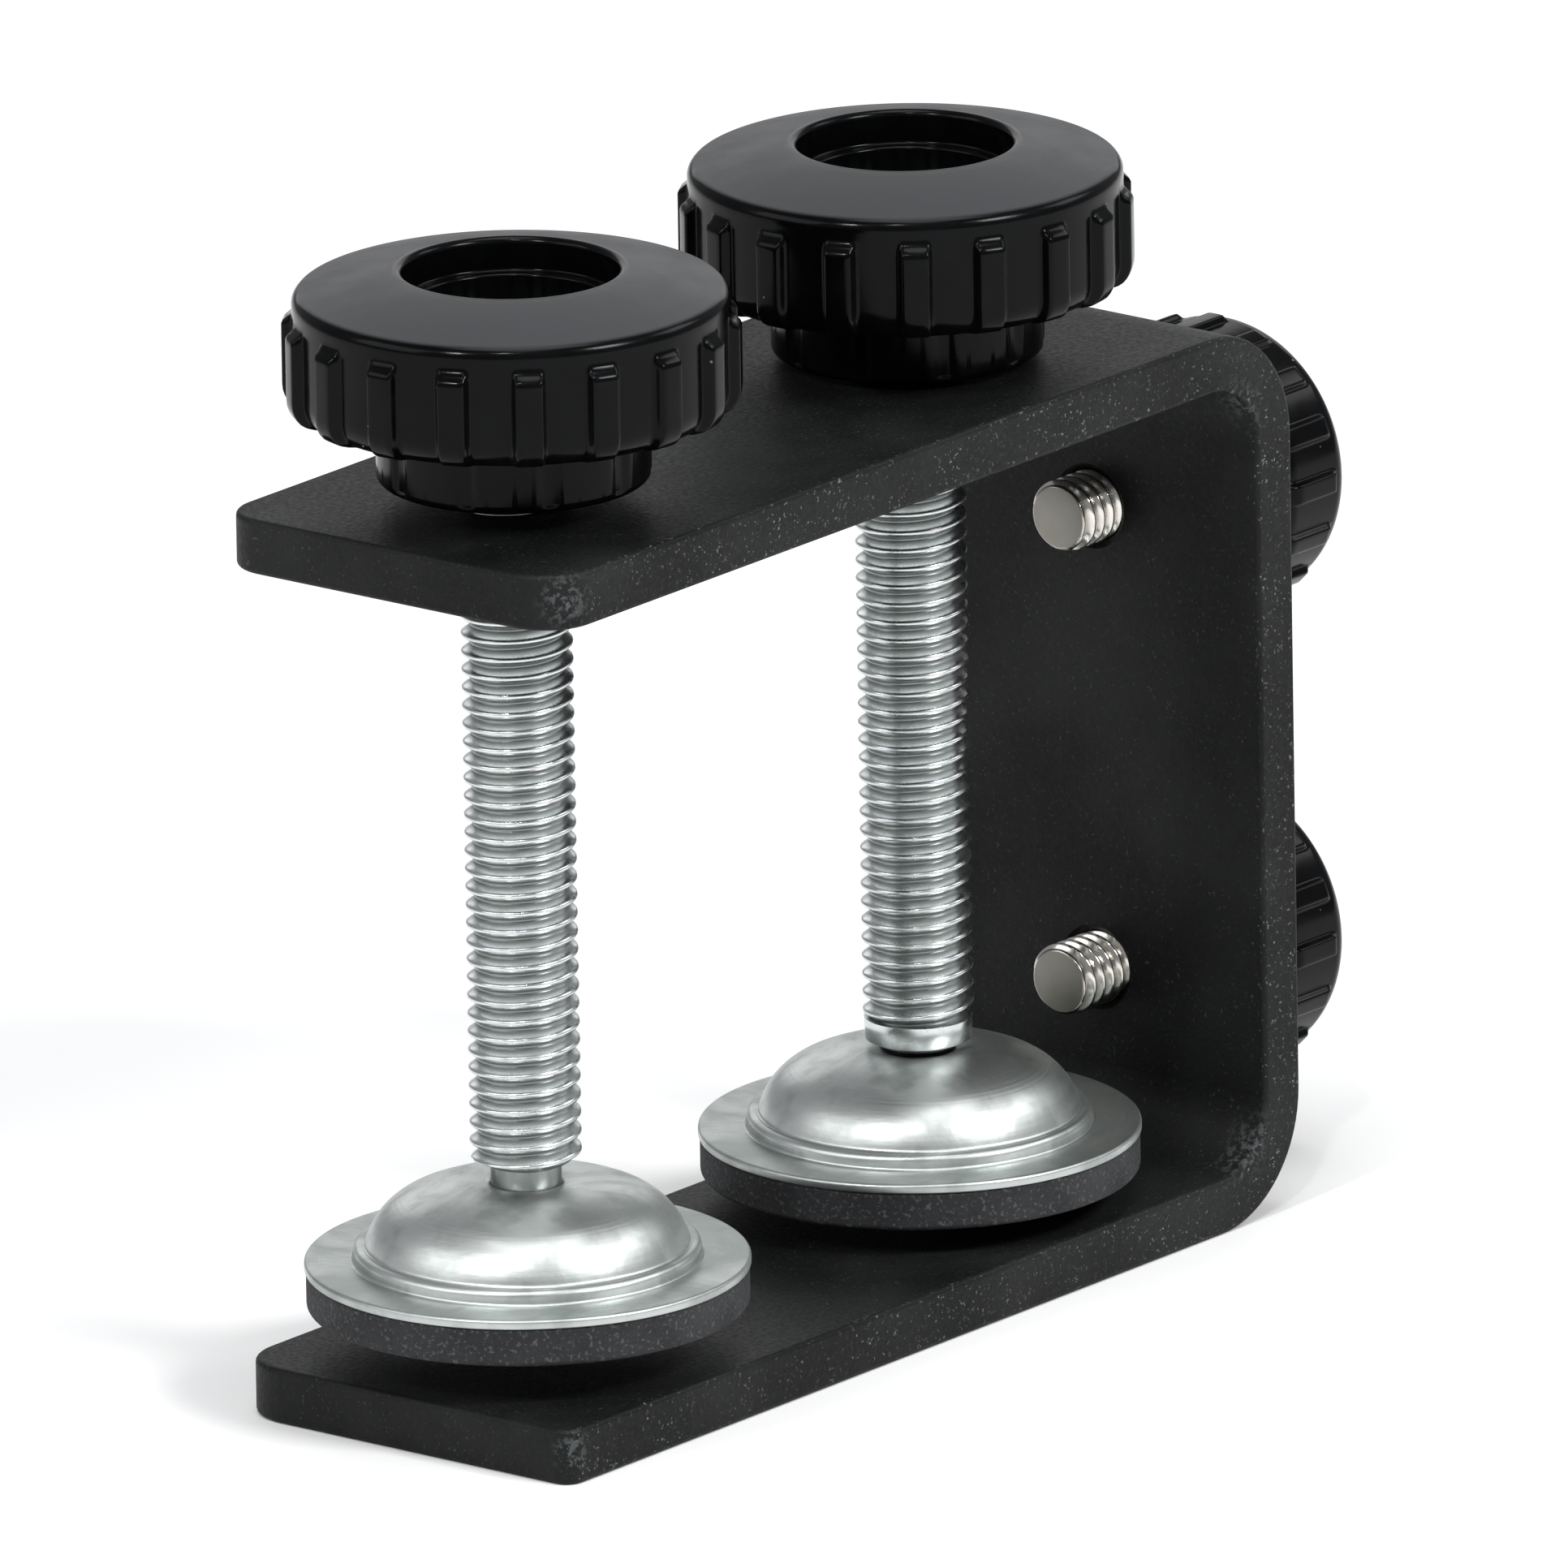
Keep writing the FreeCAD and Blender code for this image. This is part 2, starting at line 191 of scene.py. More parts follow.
# Points round a knob's rib, as shares of its half width: close together over its rounded sides. Then points
# in the gap between ribs, as shares of the gap's half.
RIB_PLACES = [0.0, 0.45, 0.75, 0.88, 0.96, 1.03, 1.1, 1.18, 1.28, 1.45]
RIB_GAP_PLACES = (0.35, 0.7)
# Where a rib's side meets the rim and where it reaches full height, as shares of its half width; its upper
# slope, as a share of its height; and where it is full under the rim, as a share of the rim's lower round.
RIB_FOOT = 1.28
RIB_FULL = 0.82
RIB_SLOPE = 1.2
RIB_UNDER_FULL = 0.3
# Where a hub's flute starts and where it is deepest, as shares of the flutes' spacing.
FLUTE_START = 0.17
FLUTE_DEEP = 0.05
# The hub's flat face, and the lip's inner round as a share of its outer one.
HUB_FACE_WIDTH = 1.5
LIP_INNER_SHARE = 0.92

# Points round a turned piece.
FINE_RING = 144
WASHER_RING = 96
ROD_RING = 56

# Camera: direction and roll, in degrees, then distance, the width seen at the clamp, the point looked at and
# how far the camera stands to the right of it and above it, all in metres. The sensor is in millimetres.
AZIMUTH = -51.41
ELEVATION = 16.55
ROLL = -0.92
DISTANCE = 5.0
SEEN_WIDTH = 0.13242
AIM = Vector((-0.0085, 0.0, 0.041))
AIM_OFFSET = (0.00214, 0.00524)
SENSOR = 36.0
CLIP_END = 20.0

# Studio: the floor's side, in metres, the surroundings, and the lamps, each with its azimuth and elevation
# in degrees, its distance and size in metres and its power in watts.
FLOOR_SIDE = 6.0
SKY_COLOUR = (0.95, 0.965, 1.0, 1.0)
SKY_STRENGTH = 0.3
LAMPS = [
    ("overhead", (0, 86), 3.0, (1.7, 1.7), 41.0),
    ("left_lamp", (-85, 42), 1.6, (0.10, 0.22), 6.0),
    ("front_lamp", (-58, 52), 1.6, (0.06, 0.12), 2.6),
    ("right_lamp", (5, 40), 1.6, (0.4, 0.34), 15.0),
    ("left_panel", (-122, 30), 1.8, (1.2, 0.9), 6.5),
    ("right_panel", (58, 36), 1.8, (0.7, 0.5), 4.2),
    ("back_panel", (128, 20), 2.0, (2.0, 0.8), 5.2),
]


# ---------------------------------------------------------------- outlines

def rounded(corners, steps=5):
    """Points along a path of (radius, height, rounding) corners, each corner rounded by its own arc."""
    points = []
    for index, (radius, height, rounding) in enumerate(corners):
        here = Vector((radius, height))
        if rounding == 0:
            points.append(here)
            continue
        before = Vector(corners[index - 1][:2])
        after = Vector(corners[(index + 1) % len(corners)][:2])
        to_before = (before - here).normalized()
        to_after = (after - here).normalized()
        half = to_before.angle(to_after) / 2
        centre = here + (to_before + to_after).normalized() * (rounding / math.sin(half))
        start = here + to_before * (rounding / math.tan(half)) - centre
        end = here + to_after * (rounding / math.tan(half)) - centre
        sweep = start.angle(end)
        for step in range(steps + 1):
            share = step / steps
            mixed = start * math.sin((1 - share) * sweep) + end * math.sin(share * sweep)
            points.append(centre + mixed / math.sin(sweep))
    return points


def arc_through(start, middle, end, steps):
    """Points on the circular arc from start to end through middle."""
    a, b, c = Vector(start), Vector(middle), Vector(end)
    cross = 2 * ((b - a).cross(c - a))
    ab, ac = (b - a).length_squared, (c - a).length_squared
    offset = Vector((
        (c - a).y * ab - (b - a).y * ac,
        (b - a).x * ac - (c - a).x * ab,
    )) / cross
    centre = a + offset
    first = math.atan2((a - centre).y, (a - centre).x)
    last = math.atan2((c - centre).y, (c - centre).x)
    sweep = last - first
    if cross < 0 and sweep > 0:
        sweep -= TAU
    if cross > 0 and sweep < 0:
        sweep += TAU
    radius = offset.length
    angles = [first + sweep * step / steps for step in range(steps + 1)]
    return [centre + Vector((math.cos(angle), math.sin(angle))) * radius for angle in angles]


def divided(points, longest, low=-math.inf, high=math.inf):
    """The same path, with no step longer than the given one between the heights low and high."""
    result = [points[0]]
    for start, end in zip(points, points[1:]):
        inside = low <= min(start.y, end.y) and max(start.y, end.y) <= high
        parts = max(1, math.ceil((end - start).length / longest)) if inside else 1
        result += [start.lerp(end, part / parts) for part in range(1, parts + 1)]
    return result


def even_angles(count):
    return [TAU * index / count for index in range(count)]


# ---------------------------------------------------------------- meshes

def new_piece(name, vertices, faces, material):
    """A mesh object in metres from vertices in millimetres, smooth, with its normals outwards."""
    mesh = bpy.data.meshes.new(name)
    mesh.from_pydata([(x * MM, y * MM, z * MM) for x, y, z in vertices], [], faces)
    shape = bmesh.new()
    shape.from_mesh(mesh)
    bmesh.ops.remove_doubles(shape, verts=shape.verts, dist=SAME_POINT)
    bmesh.ops.dissolve_degenerate(shape, edges=shape.edges, dist=NO_EDGE)
    bmesh.ops.recalc_face_normals(shape, faces=shape.faces)
    shape.to_mesh(mesh)
    shape.free()
    mesh.polygons.foreach_set("use_smooth", [True] * len(mesh.polygons))
    mesh.materials.append(material)
    piece = bpy.data.objects.new(name, mesh)
    bpy.context.scene.collection.objects.link(piece)
    weighted = piece.modifiers.new("even_shading", "WEIGHTED_NORMAL")
    weighted.mode = "FACE_AREA"
    weighted.keep_sharp = False
    return piece


def turned(name, outline, angles, material, closed=False, shape=None):
    """A turned piece about Z: the outline of (radius, height) points swept round the given angles.
    shape(angle, radius, height) gives the radius where the piece isn't round."""
    vertices, rings = [], []
    for radius, height in outline:
        if radius < NEARLY:
            rings.append([len(vertices)] * len(angles))
            vertices.append((0.0, 0.0, height))
            continue
        rings.append(list(range(len(vertices), len(vertices) + len(angles))))
        for angle in angles:
            reach = shape(angle, radius, height) if shape else radius
            vertices.append((reach * math.cos(angle), reach * math.sin(angle), height))
    pairs = list(zip(rings, rings[1:]))
    if closed:
        pairs.append((rings[-1], rings[0]))
    faces = []
    for lower, upper in pairs:
        for index in range(len(angles)):
            after = (index + 1) % len(angles)
            corners = [lower[index], lower[after], upper[after], upper[index]]
            face = [corner for place, corner in enumerate(corners) if corner not in corners[:place]]
            if len(face) > 2:
                faces.append(face)
    return new_piece(name, vertices, faces, material)


def thread_profile():
    """One whole pitch of the thread, as (share of a pitch, share of the depth) from crest to crest."""
    return HALF_PROFILE + [(1 - share, depth) for share, depth in reversed(HALF_PROFILE[1:-1])]


def threaded(name, tail, head, major, pitch, low, high, run_in, material):
    """A right-hand threaded rod about Z. tail runs from the axis to the thread's low end, and head from its
    high end back to the axis, both as (radius, height) points. The thread runs from low to high."""
    profile = thread_profile()
    samples = len(profile)
    turns = math.ceil((high - low) / pitch) + 1
    around = ROD_RING
    angles = even_angles(around)
    tail_radius, head_radius = tail[-1][0], head[0][0]
    vertices, rows = [], []
    for row in range(turns * samples + 1):
        share, depth = profile[row % samples]
        start = low - pitch + (row // samples + share) * pitch
        rows.append(list(range(len(vertices), len(vertices) + around)))
        for angle in angles:
            height = min(max(start + pitch * angle / TAU, low), high)
            reach = major - depth * THREAD_DEPTH * pitch
            reach = min(reach, tail_radius + (height - low) * (major - tail_radius) / run_in)
            reach = min(reach, head_radius + (high - height) * (major - head_radius) / run_in)
            vertices.append((reach * math.cos(angle), reach * math.sin(angle), height))
    faces = []
    last = len(rows) - 1
    for row in range(last):
        for index in range(around):
            if index < around - 1:
                here, above = rows[row], rows[row + 1]
                faces.append((here[index], here[index + 1], above[index + 1], above[index]))
                continue
            turn_on, turn_above = min(row + samples, last), min(row + 1 + samples, last)
            faces.append((rows[row][index], rows[turn_on][0], rows[turn_above][0], rows[row + 1][index]))
    for first_ring, outline in ((rows[0], list(reversed(tail[:-1]))), (rows[-1], head[1:])):
        ring = first_ring
        for radius, height in outline:
            if radius < NEARLY:
                tip = len(vertices)
                vertices.append((0.0, 0.0, height))
                faces += [(ring[index], ring[(index + 1) % around], tip) for index in range(around)]
                continue
            after = list(range(len(vertices), len(vertices) + around))
            vertices += [(radius * math.cos(angle), radius * math.sin(angle), height) for angle in angles]
            for index in range(around):
                step = (index + 1) % around
                faces.append((ring[index], ring[step], after[step], after[index]))
            ring = after
    return new_piece(name, vertices, faces, material)


def smooth_step(value, zero_at, one_at):
    share = min(max((value - zero_at) / (one_at - zero_at), 0.0), 1.0)
    return share * share * (3 - 2 * share)


# ---------------------------------------------------------------- pieces

def rib_angles(count, turn, rim, half_width):
    """Angles round a knob's rim, close together over each rib's rounded sides."""
    pitch = TAU / count
    near = [place * half_width / rim for place in RIB_PLACES]
    middle = [near[-1] + (pitch / 2 - near[-1]) * share for share in RIB_GAP_PLACES]
    side = near + middle
    offsets = [-offset for offset in reversed(side[1:])] + side + [pitch / 2]
    return sorted((turn + index * pitch + offset) % TAU for index in range(count) for offset in offsets)


def ribbed(name, size, inside, hollow, turn, material):
    """A moulded knob about Z with a recess in its top, grip ribs round its rim and a fluted hub.
    inside is the path that leads up to the hub's face: a hollow knob's bore, or a solid knob's socket."""
    rim, low, top = size["rim_radius"], size["rim_bottom"], size["height"]
    hub = size["hub_radius"]
    floor = top - size["recess_depth"]
    recess, inner, lip = size["recess_radius"], size["recess_inner_radius"], size["lip_round"]
    step = top - size["recess_step"]
    count, proud, half = size["rib_count"], size["rib_proud"], size["rib_width"] / 2
    small = size["small_round"]
    under = rounded([
        (hub - HUB_FACE_WIDTH, 0, 0),
        (hub, 0, size["hub_round"]),
        (hub, low, size["hub_fillet"]),
        (rim, low, size["rim_bottom_round"]),
        (rim, size["shoulder_start"], 0),
    ], steps=8)
    shoulder = arc_through((rim, size["shoulder_start"]), size["shoulder_mid"], size["shoulder_end"], 10)
    crown = arc_through(size["shoulder_end"], size["crown_mid"], (recess + lip, top), 8)
    bowl = rounded([
        (recess + lip, top, 0),
        (recess, top, lip * LIP_INNER_SHARE),
        (recess, step, small),
        (inner, step, small),
        (inner, floor, small * 2),
        (size["floor_radius"], floor, 0),
    ])
    outline = divided(under, size["row"], low, top) + shoulder[1:] + crown[1:] + bowl[1:]
    pitch = TAU / count

    def reach(angle, radius, height):
        under_round, hub_round, rib_top = size["rim_bottom_round"], size["hub_round"], size["rib_top"]
        if radius > rim - under_round - NEARLY and height >= low:
            offset = (angle - turn + pitch / 2) % pitch - pitch / 2
            across = smooth_step(abs(offset) * rim, half * RIB_FOOT, half * RIB_FULL)
            upper = smooth_step(height, rib_top, rib_top - proud * RIB_SLOPE)
            lower = smooth_step(radius, rim - under_round, rim - under_round * RIB_UNDER_FULL)
            return radius + proud * across * upper * lower
        if abs(radius - hub) < hub_round and 0 < height < low:
            offset = (angle * size["flutes"] / TAU) % 1 - 0.5
            dip = smooth_step(abs(offset), FLUTE_START, FLUTE_DEEP)
            ends = smooth_step(height, 0.0, hub_round)
            return radius - size["flute_depth"] * dip * ends
        return radius

    angles = rib_angles(count, turn, rim, half)
    return turned(name, [*inside, *outline], angles, material, closed=hollow, shape=reach)


def clamp_knob(number, material):
    floor_height = KNOB["height"] - KNOB["recess_depth"]
    bore = [Vector((KNOB_BORE_RADIUS, floor_height)), Vector((KNOB_BORE_RADIUS, 0.0))]
    turn = math.radians(KNOB_TURN[number])
    return ribbed(f"knob_{number}_moulding", KNOB, bore, True, turn, material)


def thumb_knob(name, material):
    head_end = STUD_HEAD_START + STUD_HEAD_LENGTH
    socket = [
        Vector((0.0, head_end)),
        Vector((STUD_HEAD_RADIUS, head_end)),
        Vector((STUD_HEAD_RADIUS, STUD_HEAD_START)),
        Vector((STUD_RADIUS, STUD_HEAD_START)),
        Vector((STUD_RADIUS, 0.0)),
    ]
    return ribbed(f"thumb_{name}_moulding", THUMB_KNOB, socket, False, 0.0, material)


def clamp_rod(number, length, material):
    flat = math.sqrt(BALL_RADIUS ** 2 - (BALL_CENTRE - BALL_FLAT) ** 2)
    ball_top = BALL_CENTRE + math.sqrt(BALL_RADIUS ** 2 - NECK_RADIUS ** 2)
    ball = arc_through((flat, BALL_FLAT), (BALL_RADIUS, BALL_CENTRE), (NECK_RADIUS, ball_top), 12)
    neck_top = NECK_TOP[number]
    tail = [(0.0, BALL_FLAT), *[tuple(place) for place in ball], (NECK_RADIUS, neck_top)]
    if number == SHANK_NUMBER:
        tail.append((SCREW_RADIUS - SHANK_UNDER_LOW, neck_top + RUN_IN))
        tail.append((SCREW_RADIUS - SHANK_UNDER_HIGH, SHANK_TOP))
    end = SCREW_RADIUS - END_CHAMFER
    head = [(end, length), (end - ROD_END_RING, length), (0.0, length)]
    thread_start = tail[-1][1]
    return threaded(
        f"rod_{number}_threaded", tail, head, SCREW_RADIUS, SCREW_PITCH, thread_start, length, RUN_IN,
        material,
    )


def thumb_rod(name, reach, material):
    head_end = STUD_HEAD_START + STUD_HEAD_LENGTH
    face = STUD_RADIUS - STUD_TIP_CHAMFER
    thread_start = -reach + STUD_TIP_LAND
    tail = [
        (0.0, -reach),
        (face - STUD_TIP_FLAT, -reach),
        (face - STUD_TIP_RING, -reach + STUD_TIP_ROUND),
        (face, thread_start),
    ]
    head = [
        (STUD_RADIUS - STUD_THREAD_END, STUD_HEAD_START),
        (STUD_HEAD_RADIUS, STUD_HEAD_START),
        (STUD_HEAD_RADIUS, head_end),
        (0.0, head_end),
    ]
    return threaded(
        f"stud_{name}_threaded", tail, head, STUD_RADIUS, STUD_PITCH, thread_start, STUD_HEAD_START,
        STUD_TIP_CHAMFER, material,
    )


def foot_cup(number, material):
    """The pressed cup over the ball: flange, rolled bead, dome and the lip curled in at the neck."""
    low, high = PAD_THICKNESS, PAD_THICKNESS + SHEET
    bead_out = BEAD_RADIUS + BEAD_ROUND
    bead_side = BEAD_TOP - BEAD_ROUND
    shoulder = arc_through(*DOME[:3], 14)
    crown = arc_through(*DOME[2:], 10)
    lip = arc_through(DOME[-1], LIP_MIDDLE, LIP_END, 6)
    bead = arc_through((bead_out, bead_side), (BEAD_RADIUS, BEAD_TOP), DOME[0], 8)
    flange = rounded([
        (DOME[0][0] - SHEET, low, 0),
        (FLANGE_RADIUS, low, FLANGE_UNDER_ROUND),
        (FLANGE_RADIUS, high, FLANGE_EDGE_ROUND),
        (bead_out, high, FLANGE_EDGE_ROUND),
        (bead_out, bead_side, 0),
    ])
    dome = shoulder + crown[1:]
    inside = []
    for before, here, after in zip(dome, dome[1:], dome[2:]):
        along = (after - before).normalized()
        inside.append(here + Vector((-along.y, along.x)) * SHEET)
    under = [Vector(LIP_END) - Vector((0.0, SHEET)), *reversed(inside)]
    outline = flange + bead[1:] + dome[1:] + lip[1:] + under
    return turned(f"foot_{number}_cup", outline, even_angles(FINE_RING), material, closed=True)


def foot_rubber(number, material):
    outline = rounded([
        (0.0, 0.0, 0),
        (PAD_RADIUS, 0.0, PAD_LOW_ROUND),
        (PAD_RADIUS, PAD_THICKNESS, PAD_HIGH_ROUND),
        (0.0, PAD_THICKNESS, 0),
    ])
    return turned(f"foot_{number}_rubber", outline, even_angles(FINE_RING), material)


def washer(name, material):
    outline = rounded([
        (WASHER_BORE_RADIUS, -WASHER_THICKNESS, WASHER_BORE_ROUND),
        (WASHER_RADIUS, -WASHER_THICKNESS, WASHER_EDGE_ROUND),
        (WASHER_RADIUS, 0.0, WASHER_EDGE_ROUND),
        (WASHER_BORE_RADIUS, 0.0, WASHER_BORE_ROUND),
    ])
    return turned(f"washer_{name}_disc", outline, even_angles(WASHER_RING), material, closed=True)


# ---------------------------------------------------------------- materials

class Look:
    """A material's node tree, with short ways to add and join nodes."""

    def __init__(self, name):
        self.material = bpy.data.materials.new(name)
        self.material.use_nodes = True
        self.tree = self.material.node_tree
        self.tree.nodes.clear()
        self.output = self.add("ShaderNodeOutputMaterial")
        self.shader = self.add("ShaderNodeBsdfPrincipled")
        self.join(self.shader.outputs["BSDF"], self.output.inputs["Surface"])
        self.place = self.add("ShaderNodeTexCoord").outputs["Object"]

    def add(self, kind, **settings):
        node = self.tree.nodes.new(kind)
        for key, value in settings.items():
            setattr(node, key, value)
        return node

    def join(self, source, target):
        self.tree.links.new(source, target)

    def set(self, **values):
        for key, value in values.items():
            self.shader.inputs[key.replace("_", " ")].default_value = value

    def noise(self, scale, detail=2.0, roughness=0.5, place=None, distortion=0.0):
        node = self.add("ShaderNodeTexNoise")
        node.inputs["Scale"].default_value = scale
        node.inputs["Detail"].default_value = detail
        node.inputs["Roughness"].default_value = roughness
        node.inputs["Distortion"].default_value = distortion
        self.join(place or self.place, node.inputs["Vector"])
        return node.outputs["Fac"]

    def cells(self, scale):
        node = self.add("ShaderNodeTexVoronoi")
        node.inputs["Scale"].default_value = scale
        self.join(self.place, node.inputs["Vector"])
        return node

    def ramp(self, source, low, high, low_value=0.0, high_value=1.0):
        node = self.add("ShaderNodeMapRange", interpolation_type="SMOOTHSTEP")
        node.inputs["From Min"].default_value = low
        node.inputs["From Max"].default_value = high
        node.inputs["To Min"].default_value = low_value
        node.inputs["To Max"].default_value = high_value
        self.join(source, node.inputs["Value"])
        return node.outputs["Result"]

    def math(self, operation, first, second=0.0):
        node = self.add("ShaderNodeMath", operation=operation)
        for socket, value in zip(node.inputs, (first, second)):
            if isinstance(value, (int, float)):
                socket.default_value = value
            else:
                self.join(value, socket)
        return node.outputs[0]

    def mix(self, factor, first, second):
        node = self.add("ShaderNodeMix", data_type="RGBA")
        for socket, value in ((node.inputs[0], factor), (node.inputs[6], first), (node.inputs[7], second)):
            if isinstance(value, (int, float)):
                socket.default_value = value
            elif isinstance(value, tuple):
                socket.default_value = (*value, 1.0)
            else:
                self.join(value, socket)
        return node.outputs[2]

    def axes(self):
        node = self.add("ShaderNodeSeparateXYZ")
        self.join(self.place, node.inputs[0])
        return node.outputs

    def from_axis(self):
        """Distance from the piece's own Z axis."""
        x, y, _ = self.axes()
        squares = self.math("ADD", self.math("MULTIPLY", x, x), self.math("MULTIPLY", y, y))
        return self.math("SQRT", squares)

    def near(self, spot, inner, outer):
        """1 close to a spot, in metres, falling to 0 at the outer distance."""
        node = self.add("ShaderNodeVectorMath", operation="DISTANCE")
        self.join(self.place, node.inputs[0])
        node.inputs[1].default_value = spot
        return self.ramp(node.outputs["Value"], inner, outer, 1.0, 0.0)

    def bump(self, height, distance, strength=1.0, under=None):
        node = self.add("ShaderNodeBump")
        node.inputs["Strength"].default_value = strength
        node.inputs["Distance"].default_value = distance
        self.join(height, node.inputs["Height"])
        if under:
            self.join(under, node.inputs["Normal"])
        return node.outputs["Normal"]

    def finish(self, colour=None, roughness=None, normal=None):
        if colour:
            self.join(colour, self.shader.inputs["Base Color"])
        if roughness:
            self.join(roughness, self.shader.inputs["Roughness"])
        if normal:
            self.join(normal, self.shader.inputs["Normal"])
        return self.material


def powder_coat(low, high):
    """Black powder coat: sandy grain, paler grains on the cut edges, rubbed patches at bends and corners.
    low and high are the corners of the bracket's box, in metres."""
    deep, worn = (0.004, 0.0044, 0.0042), (0.0135, 0.0142, 0.0138)
    pale_grain, rubbed = (0.17, 0.175, 0.175), (0.15, 0.165, 0.17)
    look = Look("powder_coat_black")
    look.set(Metallic=0.0, Specular_IOR_Level=0.15)
    grain = look.noise(2100, detail=3.0, roughness=0.62)
    peel = look.noise(620, detail=2.0)
    cloud = look.noise(55, detail=3.0)
    _, y, _ = look.axes()
    edge = look.ramp(look.math("ABSOLUTE", y), high.y - 0.0009, high.y - 0.0001)
    pale = look.ramp(look.noise(3000, detail=2.0, roughness=0.7), 0.64, 0.68)
    patch = look.ramp(look.noise(240, detail=2.0), 0.35, 0.65, 0.3, 1.0)
    dots = look.math("MULTIPLY", pale, look.math("ADD", look.math("MULTIPLY", edge, 0.8), 0.2))
    dots = look.math("MULTIPLY", dots, patch)

    bar = BAR_THICKNESS * MM
    web_inner, near_side = high.x - bar, low.y
    # Each rubbed patch: its middle, and the distances where it is full and where it ends.
    patches = [
        ((web_inner - 0.0028, near_side, high.z - bar - 0.0028), 0.0004, 0.0046),
        ((web_inner - 0.0026, near_side, bar + 0.0026), 0.0004, 0.0044),
        ((low.x + 0.0006, near_side, bar * 0.6), 0.0003, 0.0026),
        ((low.x + 0.0022, near_side + 0.0006, high.z - 0.0022), 0.0003, 0.0032),
    ]
    rubs = look.near(*patches[0])
    for place in patches[1:]:
        rubs = look.math("MAXIMUM", rubs, look.near(*place))
    rubs = look.math("MULTIPLY", rubs, look.ramp(look.noise(1700, detail=3.0, roughness=0.65), 0.47, 0.60))

    colour = look.mix(look.ramp(cloud, 0.35, 0.7), deep, worn)
    colour = look.mix(dots, colour, pale_grain)
    colour = look.mix(look.math("MULTIPLY", rubs, 0.45), colour, rubbed)
    rough = look.math("ADD", look.ramp(grain, 0.3, 0.7, 0.44, 0.58), look.math("MULTIPLY", rubs, 0.1))
    normal = look.bump(peel, 0.00006, 0.45)
    normal = look.bump(grain, 0.00005, 0.75, under=normal)
    return look.finish(colour, rough, normal)


def knob_plastic(name, crown_height, crown_radius):
    """Black plastic, glossy on the wall and in the recess and matt on the crown, with handling haze and a
    few dust specks. The crown is painted a paler grey, partly for its matt finish and partly as painted light
    falling on it from above. The crown starts at the given height and outside the given radius, in
    millimetres."""
    deep, hazy = (0.0012, 0.0013, 0.0015), (0.0024, 0.0026, 0.003)
    # The crown's paler grey is partly its matt finish and partly painted light from above.
    matt_grey_with_painted_light, dusty = (0.048, 0.049, 0.052), (0.24, 0.24, 0.25)
    look = Look(name)
    look.set(Metallic=0.0, Specular_IOR_Level=0.1)
    above = look.ramp(look.axes()[2], (crown_height - 0.15) * MM, (crown_height + 0.1) * MM)
    outside = look.ramp(look.from_axis(), crown_radius * MM, (crown_radius + 0.4) * MM)
    crown = look.math("MULTIPLY", above, outside)
    haze = look.noise(210, detail=4.0, roughness=0.6)
    fine = look.noise(2600, detail=2.0)
    cell = look.cells(620)
    dust = look.ramp(cell.outputs["Distance"], 0.05, 0.085, 1.0, 0.0)
    few = look.add("ShaderNodeSeparateColor")
    look.join(cell.outputs["Color"], few.inputs[0])
    dust = look.math("MULTIPLY", dust, look.ramp(few.outputs[0], 0.90, 0.93))
    colour = look.mix(look.ramp(haze, 0.4, 0.75), deep, hazy)
    # Painted light: the crown is mixed to a paler grey, partly for its matt finish and partly for the light
    # from above.
    colour = look.mix(crown, colour, matt_grey_with_painted_light)
    colour = look.mix(look.math("MULTIPLY", dust, 0.6), colour, dusty)
    rough = look.math("ADD", look.ramp(haze, 0.3, 0.75, 0.13, 0.22), look.math("MULTIPLY", dust, 0.3))
    rough = look.math("ADD", rough, look.math("MULTIPLY", crown, 0.25))
    normal = look.bump(look.noise(330, detail=2.0), 0.00006, 0.16)
    normal = look.bump(fine, 0.00001, 0.3, under=normal)
    return look.finish(colour, rough, normal)


def plated_thread(name, bright, dark, major, pitch, least_rough, most_rough, face=None):
    """Plated thread: bright crests, roots painted darker as shade in the grooves, faint blotches. face is the
    height of a sawn, duller end face, in millimetres."""
    sawn_steel = (0.28, 0.27, 0.24)
    look = Look(name)
    look.set(Metallic=1.0)
    root, near_crest = major - THREAD_DEPTH * pitch, major - 0.12 * pitch
    crest = look.ramp(look.from_axis(), root * MM, near_crest * MM)
    blotch = look.noise(420, detail=4.0, roughness=0.62)
    scratch = look.noise(2400, detail=2.0)
    # Painted shade: the colour darkens from the crests down into the thread's roots.
    colour = look.mix(crest, dark, bright)
    colour = look.mix(look.ramp(blotch, 0.48, 0.72, 0.0, 0.30), colour, dark)
    rough = look.ramp(blotch, 0.3, 0.75, least_rough, most_rough)
    rough = look.math("ADD", rough, look.ramp(crest, 0.0, 1.0, 0.10, 0.0))
    if face is not None:
        sawn = look.ramp(look.axes()[2], (face + 0.01) * MM, (face + 0.03) * MM, 1.0, 0.0)
        colour = look.mix(sawn, colour, sawn_steel)
        rough = look.math("ADD", rough, look.math("MULTIPLY", sawn, 0.25))
    normal = look.bump(blotch, 0.00005, 0.35)
    normal = look.bump(scratch, 0.000012, 0.45, under=normal)
    return look.finish(colour, rough, normal)


